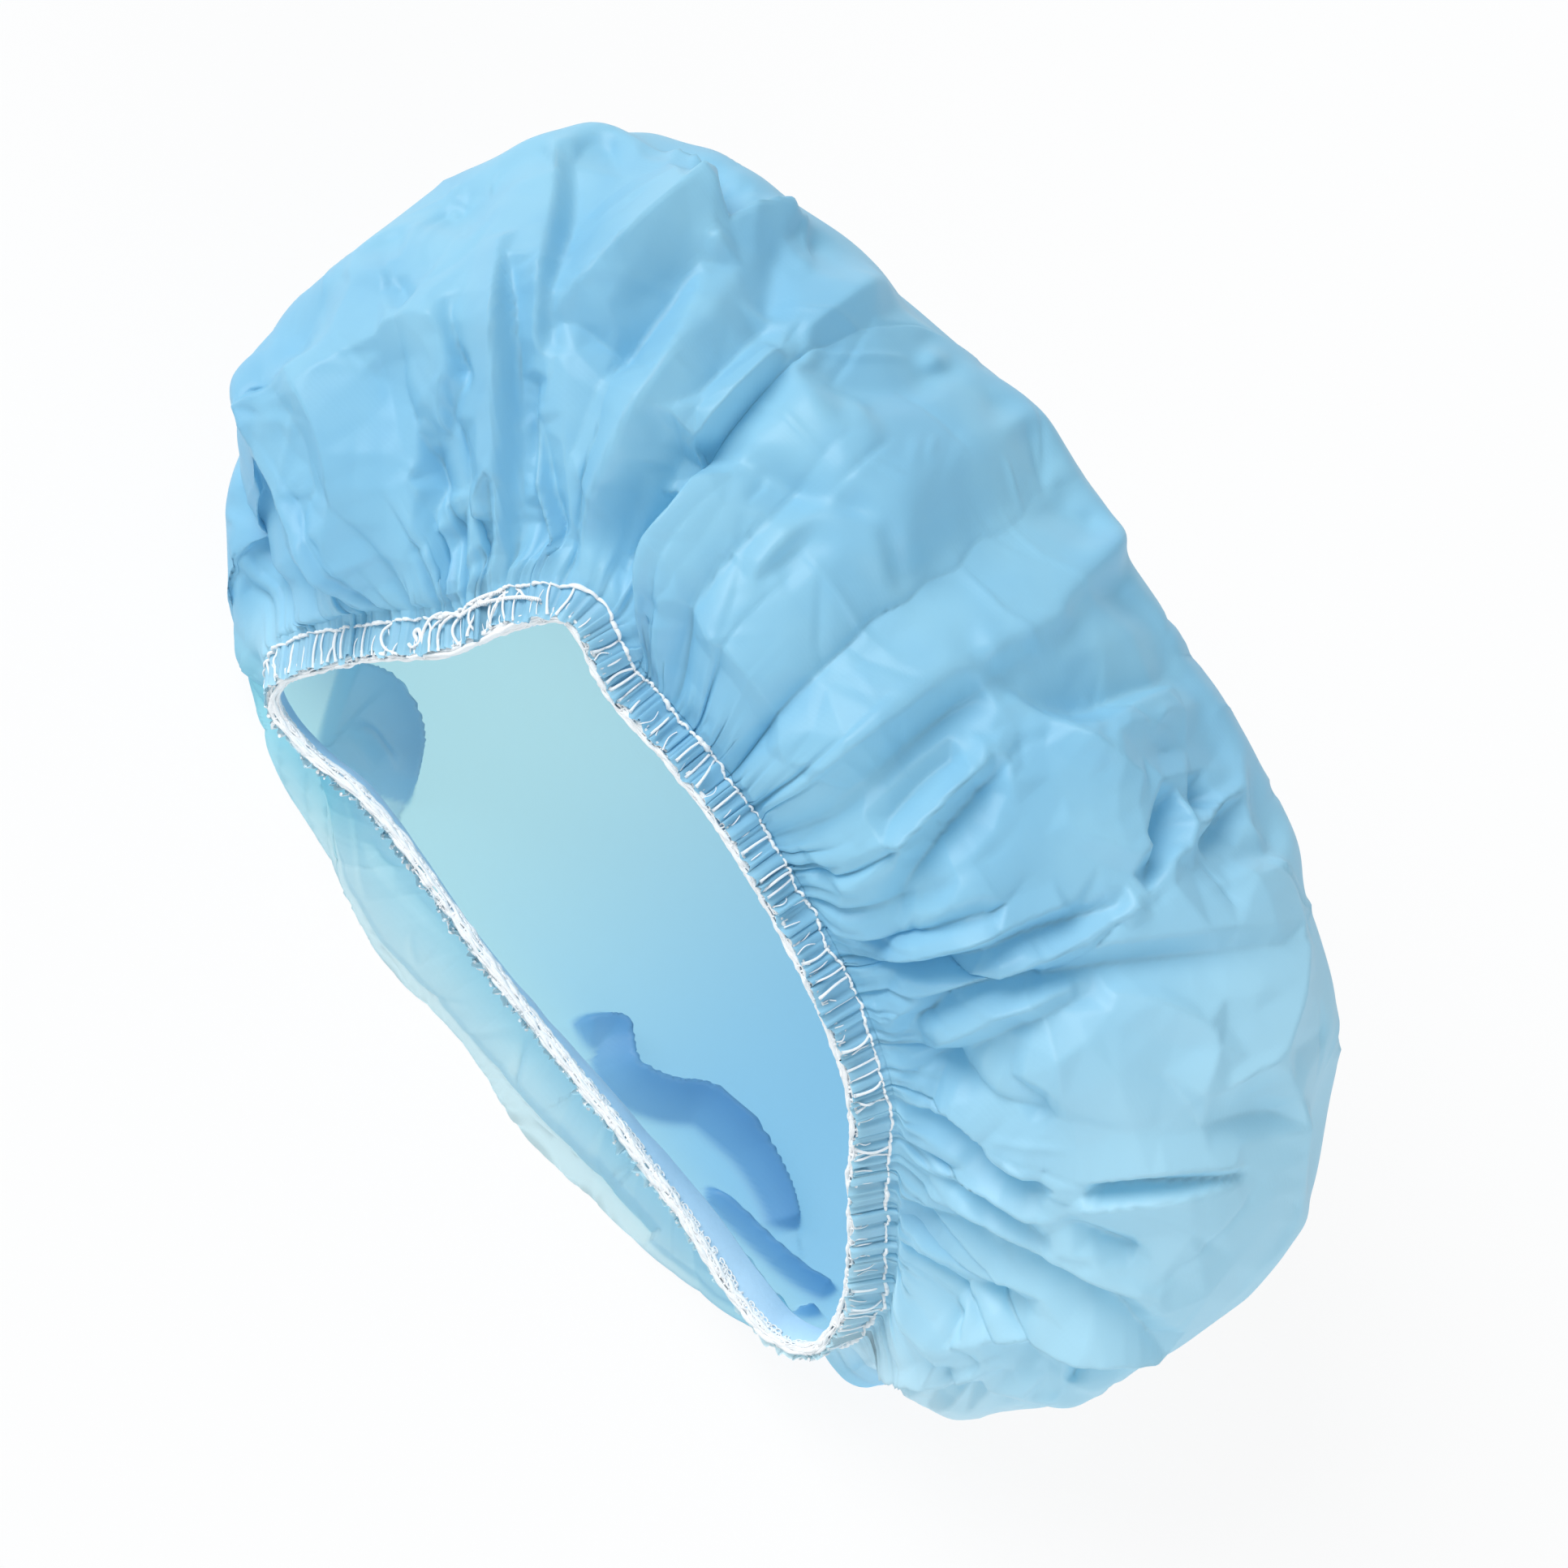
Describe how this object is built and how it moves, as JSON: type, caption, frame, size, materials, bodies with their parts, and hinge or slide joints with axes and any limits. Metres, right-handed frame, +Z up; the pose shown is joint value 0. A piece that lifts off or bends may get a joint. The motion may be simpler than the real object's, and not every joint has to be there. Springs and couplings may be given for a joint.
{
  "type": "shower cap",
  "caption": "Gathered film shower cap with a stitched elastic rim, puffed up and lying on its side with its mouth open.",
  "frame": {"origin": "on the table, under the middle of the cap's bounding box as it lies", "axes": "+X along the long way of the mouth, +Y into the cap from the mouth towards the crown, +Z up from the table"},
  "size_m": [0.3028, 0.16, 0.149],
  "materials": {
    "film": "thin soft blue film, translucent, half glossy",
    "elastic": "pale blue-white knitted elastic, matte",
    "thread": "white textured sewing thread"
  },
  "bodies": {
    "root": {"cap_film": "film", "elastic_band": "elastic", "needle_thread": "thread", "upper_looper_thread": "thread", "lower_looper_thread": "thread", "elastic_join_tack": "thread", "seam_overlap_thread": "thread"}
  },
  "joints": []
}
